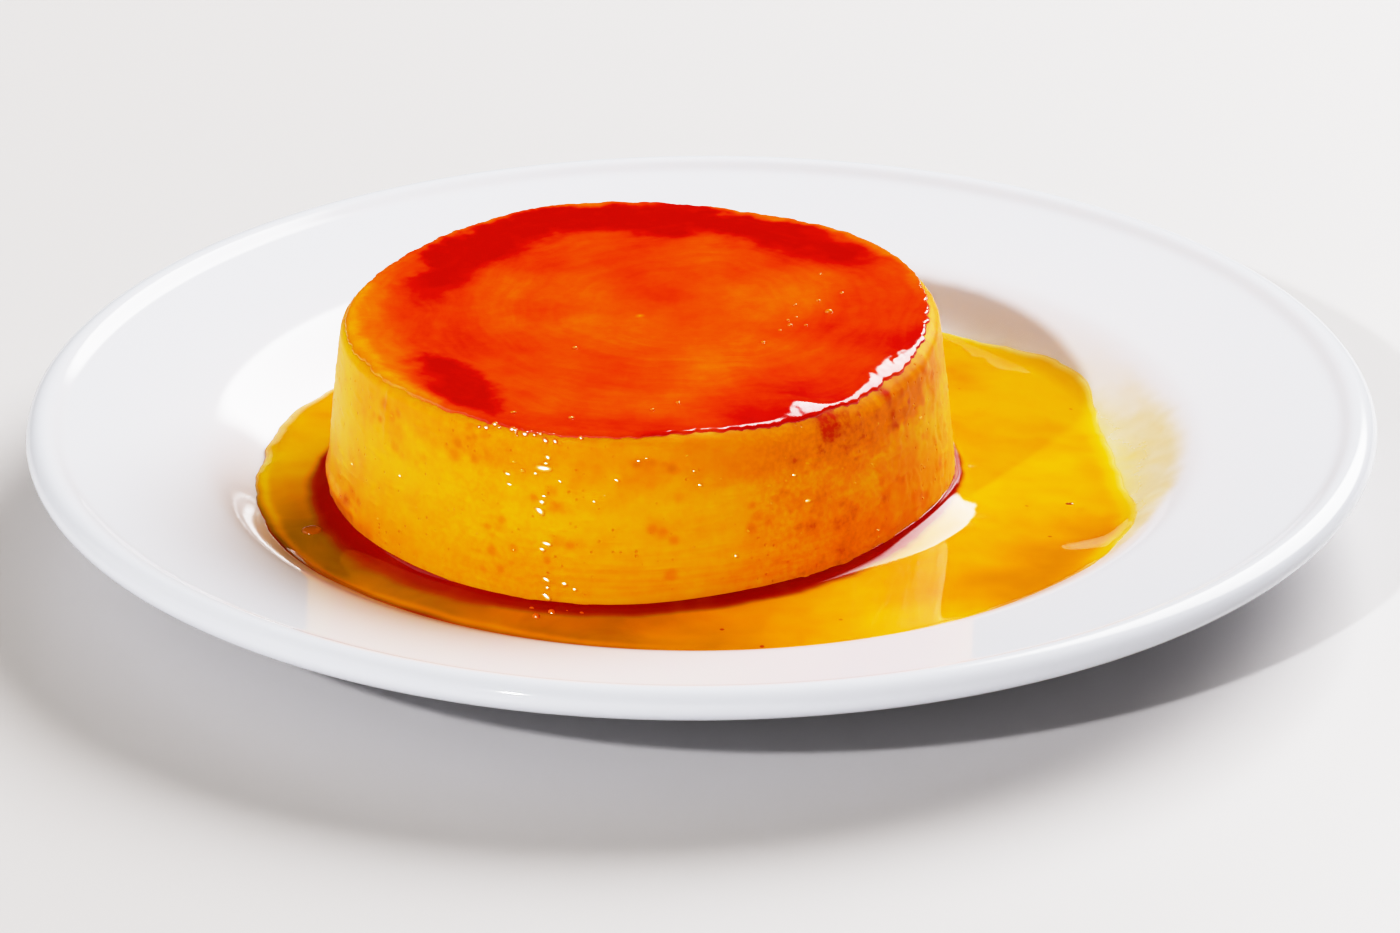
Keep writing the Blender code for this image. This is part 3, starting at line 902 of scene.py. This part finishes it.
material, shader, node = new_material("syrup_film")
place = node("ShaderNodeTexCoord").outputs["Object"]
cover = painted(node, "cover")
patchy = node("ShaderNodeGroup", {
    "Place": place, "Scale": 160.0, "Detail": 4.0, "Least": 0.7, "Most": 1.2,
}, node_tree=cloudiness)
alpha = node("ShaderNodeMath", {
    0: cover, 1: patchy.outputs["Value"],
}, operation="MULTIPLY", use_clamp=True)
gold = node("ShaderNodeMix", {
    0: patchy.outputs["Cloud"], 6: FILM_COLOUR, 7: FILM_DEEP_COLOUR,
}, data_type="RGBA")
plug(shader, {"Base Color": gold.outputs[2], "Roughness": 0.06, "Alpha": alpha.outputs[0]})

# It covers best by the pool and fades out at its upper edge and its ends.
film_cover = 0.34 * lobe(film_angle, -8.0, 26.0, 8.0) + 0.6 * np.exp(-film_share / 0.22)
film_cover *= smooth_step((film_angle - FILM_ANGLES[0]) / FILM_FADE)
film_cover *= smooth_step((FILM_ANGLES[1] - film_angle) / FILM_FADE)
film_cover *= smooth_step((1.0 - film_share) / 0.3)
film = ring_piece(
    "syrup_film", film_rows, material, {"cover": film_cover}, caps=(False, False), loop=False,
)
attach(film, "root")


# ---- The wet beads ----
# Little drops of syrup and burst bubbles left standing on the flan and in the pool. Each is a
# clear, glossy dome no wider than a pinhead or two.

# Beads set one by one, all in mm but the angles. On the side: angle, height and half width. On
# the top: across and away from the middle, and half width. On the pool and at the custard's
# foot: angle, radius and half width.
SIDE_BEADS = (
    (-106.3, 35.2, 0.50), (-106.6, 34.2, 0.30), (-107.0, 33.4, 0.75), (-108.5, 32.4, 0.35),
    (-106.8, 29.0, 0.40), (-107.2, 28.0, 0.55), (-107.6, 26.6, 0.75), (-106.2, 21.4, 0.50),
    (-107.0, 20.4, 0.40), (-106.2, 15.6, 0.45), (-106.0, 14.3, 0.35), (-106.3, 13.0, 0.55),
    (-103.0, 15.2, 0.45), (-101.2, 14.4, 0.30), (-113.8, 31.6, 0.35), (-113.4, 30.0, 0.25),
    (-104.0, 31.6, 0.22), (-98.0, 28.8, 0.25), (-94.0, 32.3, 0.30), (-90.0, 35.4, 0.25),
    (-80.0, 33.6, 0.25), (-79.0, 31.1, 0.30), (-72.5, 18.2, 0.30), (-59.8, 30.5, 0.25),
    (-57.5, 24.5, 0.40), (-24.0, 30.0, 0.30), (-156.0, 22.0, 0.30), (-139.0, 25.5, 0.25),
)
TOP_BEADS = (
    (19.3, -11.4, 0.35), (23.6, -4.6, 0.40), (26.1, -4.7, 0.30), (22.0, -6.6, 0.28),
    (23.3, -2.6, 0.30), (24.6, -1.4, 0.26), (24.5, 3.4, 0.32), (28.2, 5.0, 0.34),
    (29.8, 0.5, 0.60), (32.0, 7.8, 0.34), (28.7, 15.7, 0.30), (-10.1, -12.9, 0.40),
    (-19.2, -39.1, 0.35), (-10.3, -41.1, 0.40), (2.1, -37.5, 0.35), (6.0, -34.5, 0.38),
)
POOL_BUBBLES = ((-154.0, 68.0, 1.7), (-20.0, 62.0, 0.4))
FOOT_BEADS = (
    (-106.0, 52.2, 0.40), (-108.0, 53.1, 0.34), (-104.5, 53.6, 0.42), (-102.0, 52.8, 0.30),
    (-110.5, 52.6, 0.26), (-99.5, 53.0, 0.30), (-106.6, 55.4, 0.36),
)
STRAY_BEADS = 130
EDGE_BEADS = 14
BEAD_SEED = 21
BEAD_RINGS = 5
BEAD_SEGMENTS = 12
BEAD_ROOT = 0.5 * MM
PALE_AMBER = 0.22
DEEP_AMBER = 0.45
LAMP_FACING = np.array([-0.224, -0.837, 0.5])
UPWARD = np.array([0.0, 0.0, 1.0])
BEAD_COLOURS = {
    0.0: (1.0, 0.45, 0.002),
    0.3: (1.0, 0.33, 0.001),
    0.6: (0.88, 0.06, 0.0005),
    1.0: (0.40, 0.12, 0.0005),
}


def bead_dome(centre, facing, size, stretch, height, roll):
    """Points and faces of one dome of this size, longer by stretch on the level and turned by
    roll, with its skirt sunk towards the middle of the flan."""
    rooted = centre - np.array([*FLAN_CENTRE, centre[2] - 6.0 * MM])
    rooted = rooted / np.linalg.norm(rooted)
    facing = facing / np.linalg.norm(facing)
    level = np.cross((0.0, 0.0, 1.0), facing)
    if np.linalg.norm(level) < 0.05:
        level = np.array([1.0, 0.0, 0.0])
    level = level / np.linalg.norm(level)
    level = level * math.cos(roll) - np.cross(facing, level) * math.sin(roll)
    upward = np.cross(facing, level)
    points = [centre + facing * height]
    for ring in range(1, BEAD_RINGS + 1):
        lean = ring / BEAD_RINGS * math.pi / 2
        for turn in np.linspace(0.0, math.tau, BEAD_SEGMENTS, endpoint=False):
            across = level * math.cos(turn) * stretch + upward * math.sin(turn)
            points.append(centre + across * size * math.sin(lean) + facing * height * math.cos(lean))
    points += [point - rooted * BEAD_ROOT for point in points[-BEAD_SEGMENTS:]]
    ahead = [(segment + 1) % BEAD_SEGMENTS for segment in range(BEAD_SEGMENTS)]
    faces = [(0, 1 + segment, 1 + after) for segment, after in enumerate(ahead)]
    for ring in range(BEAD_RINGS):
        inner = 1 + ring * BEAD_SEGMENTS
        outer = inner + BEAD_SEGMENTS
        for segment, after in enumerate(ahead):
            faces.append((inner + segment, outer + segment, outer + after, inner + after))
    return points, faces


def about(middle, angle, radius, level):
    """The point at this angle, radius and height about a middle."""
    turn = math.radians(angle)
    return np.array([
        middle[0] + radius * math.cos(turn), middle[1] + radius * math.sin(turn), level,
    ])


# Each bead: its centre, the way it faces, its half width, how much longer it is on the level,
# its height, and how amber it is.
chance = np.random.RandomState(BEAD_SEED)
beads = []
for angle, level, size in SIDE_BEADS:
    centre = flan_skin(np.array(side_way(level * MM)), angle, 0.02 * MM)
    long = chance.uniform(1.3, 2.6)
    beads.append((centre, LAMP_FACING, 0.85 * size * MM, long, 0.10 * size * MM, PALE_AMBER))
for across, away, size in TOP_BEADS:
    angle = math.degrees(math.atan2(away, across))
    way = math.hypot(across, away) * MM / flan_outline(angle)
    centre = flan_skin(np.array(way), angle, 0.12 * MM)
    beads.append((centre, UPWARD, size * MM, 1.1, 0.7 * size * MM, DEEP_AMBER))
for angle, radius, size in POOL_BUBBLES:
    centre = about((0.0, 0.0), angle, radius * MM, POOL_LEVEL - 0.05 * MM)
    beads.append((centre, UPWARD, size * MM, 1.0, 0.35 * size * MM, 1.0))
for angle, radius, size in FOOT_BEADS:
    centre = about(FLAN_CENTRE, angle, radius * MM, POOL_LEVEL + 0.25 * MM)
    beads.append((centre, LAMP_FACING, size * MM, 1.6, 0.3 * size * MM, 0.50))
for _ in range(STRAY_BEADS):
    angle = chance.uniform(-180.0, 180.0)
    size = chance.uniform(0.12, 0.24) * MM
    lift = chance.uniform(0.1, 0.9)
    centre = flan_skin(np.array(side_way(chance.uniform(12.0, 36.5) * MM)), angle, 0.02 * MM)
    turn = math.radians(angle + chance.uniform(-20.0, 20.0))
    facing = np.array([math.cos(turn), math.sin(turn), lift])
    beads.append((centre, facing, size, chance.uniform(1.0, 1.8), 0.2 * size, 0.24))
for _ in range(EDGE_BEADS):
    angle = chance.uniform(-123.0, -97.0)
    way = SHOULDER_START + chance.uniform(1.2, 2.6) * MM
    centre = flan_skin(np.array(way), angle, 0.08 * MM)
    beads.append((centre, LAMP_FACING, chance.uniform(0.16, 0.38) * MM, 1.5, 0.04 * MM, DEEP_AMBER))

points, faces, amber = [], [], []
for centre, facing, size, stretch, height, shade in beads:
    dome, sides = bead_dome(centre, facing, size, stretch, height, chance.uniform(-0.1, 0.7))
    faces += [tuple(len(points) + corner for corner in side) for side in sides]
    points += [tuple(point) for point in dome]
    amber += [shade] * len(dome)
bead_mesh = bpy.data.meshes.new("wet_beads")
bead_mesh.from_pydata(points, [], faces)
bead_mesh.attributes.new("amber", "FLOAT", "POINT").data.foreach_set("value", amber)
bead_mesh.shade_smooth()

material, shader, node = new_material("wet_syrup_bead")
amber = painted(node, "amber")
place = node("ShaderNodeTexCoord").outputs["Object"]
clouds = node("ShaderNodeGroup", {
    "Place": place, "Scale": 700.0, "Low": 0.0, "High": 1.0, "Least": -0.1, "Most": 0.1,
}, node_tree=cloudiness)
tint = node("ShaderNodeMath", {0: amber, 1: clouds.outputs["Value"]}, operation="ADD")
colour = colour_ramp(node, tint.outputs[0], BEAD_COLOURS)
plug(shader, {"Base Color": colour, "Roughness": 0.16, "IOR": 1.46})
bead_mesh.materials.append(material)
beads = placed("wet_beads", bead_mesh)
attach(beads, "root")


# ---- The studio ----
# A pale table top with a slight polish, a small hard lamp at the front left, a large soft window
# at the back right and a dim warm room. The camera looks down at the plate from the front.

TABLE_HALF_WIDTH = 12.0
COOL_WHITE = (0.98, 0.98, 1.0)
ROOM_COLOUR = (0.07, 0.045, 0.01, 1.0)
BACKDROP_COLOUR = (0.85, 0.85, 0.85, 1.0)
LENS = 177.9
CAMERA_PLACE = (0.0, -1.0147, 0.4647)
CAMERA_TURN = (65.773, 0.294, -0.117)

floor_mesh = bpy.data.meshes.new("table_top")
corners = ((-1.0, -1.0, 0.0), (1.0, -1.0, 0.0), (1.0, 1.0, 0.0), (-1.0, 1.0, 0.0))
floor_mesh.from_pydata([Vector(c) * TABLE_HALF_WIDTH for c in corners], [], [(0, 1, 2, 3)])
floor = placed("table_top", floor_mesh)
material, shader, _ = new_material("pale_table")
plug(shader, {
    "Base Color": (0.675, 0.66, 0.658, 1.0), "Roughness": 0.35, "Specular IOR Level": 0.3,
})
floor_mesh.materials.append(material)


def lamp(name, azimuth, elevation, distance, size, watts, colour=(1.0, 1.0, 1.0), shape="RECTANGLE"):
    """An area lamp aimed at the plate. Azimuth is in degrees from the front, to the right."""
    turn, rise = math.radians(azimuth), math.radians(elevation)
    away = Vector((
        math.sin(turn) * math.cos(rise), -math.cos(turn) * math.cos(rise), math.sin(rise),
    ))
    data = bpy.data.lights.new(name, "AREA")
    data.shape = shape
    data.size, data.size_y = size
    data.energy = watts
    data.color = colour
    made = placed(name, data)
    made.location = away * distance + Vector((0.0, 0.0, 0.02))
    made.rotation_euler = away.to_track_quat("Z", "Y").to_euler()
    return data


# The lamp gives the hard glints, and two weak cards fill the shadows at the front and left. The
# window fades out towards its edges, so that its mirror image in the caramel has no border.
lamp("key_lamp", -32.0, 31.5, 2.5, (0.11, 0.11), 42.5, COOL_WHITE, "ELLIPSE")
lamp("front_card", -8.0, 10.0, 1.6, (1.3, 0.5), 2.1)
lamp("left_card", -95.0, 35.0, 1.5, (1.5, 1.1), 4.5)
window = lamp("window", 140.0, 36.0, 1.4, (1.45, 1.15), 56.0, COOL_WHITE)
window.use_nodes = True
node = node_maker(window.node_tree)
spot = node("ShaderNodeNewGeometry").outputs["Parametric"]
centred = node("ShaderNodeVectorMath", {
    0: spot, 1: (2.0, 2.0, 0.0), 2: (-1.0, -1.0, 0.0),
}, operation="MULTIPLY_ADD")
off_middle = node("ShaderNodeVectorMath", {0: centred.outputs["Vector"]}, operation="LENGTH")
fade = node("ShaderNodeMapRange", {
    "Value": off_middle.outputs["Value"], "From Min": 1.0, "From Max": 0.75,
}, interpolation_type="SMOOTHSTEP")
plug(window.node_tree.nodes["Emission"], {"Strength": fade.outputs[0]})

world = bpy.data.worlds.new("room")
world.use_nodes = True
bpy.context.scene.world = world
node = node_maker(world.node_tree)
path = node("ShaderNodeLightPath")
backdrop = node("ShaderNodeMix", {
    0: path.outputs["Is Camera Ray"], 6: ROOM_COLOUR, 7: BACKDROP_COLOUR,
}, data_type="RGBA")
plug(world.node_tree.nodes["Background"], {"Color": backdrop.outputs[2]})

camera = placed("camera", bpy.data.cameras.new("camera"))
camera.data.lens = LENS
camera.data.sensor_width = 36.0
camera.data.clip_end = 50.0
camera.location = CAMERA_PLACE
camera.rotation_euler = Euler([math.radians(value) for value in CAMERA_TURN])
bpy.context.scene.camera = camera

# How bright each amount of light is shown: this holds the plate's whites and the deep reds.
look = bpy.context.scene.view_settings
look.view_transform = "Standard"
look.use_curve_mapping = True
look.curve_mapping.clip_max_x = 4.0
tone = look.curve_mapping.curves[3].points
tone[0].location = (0.0, 0.0)
tone[1].location = (4.0, 1.0)
for light, shown in (
    (0.006, 0.001), (0.02, 0.010), (0.05, 0.033), (0.10, 0.072), (0.20, 0.185), (0.30, 0.32),
    (0.40, 0.455), (0.55, 0.62), (0.70, 0.735), (0.85, 0.81), (1.0, 0.86), (1.25, 0.91),
    (1.6, 0.95), (2.5, 0.99),
):
    tone.new(light, shown)
look.curve_mapping.update()
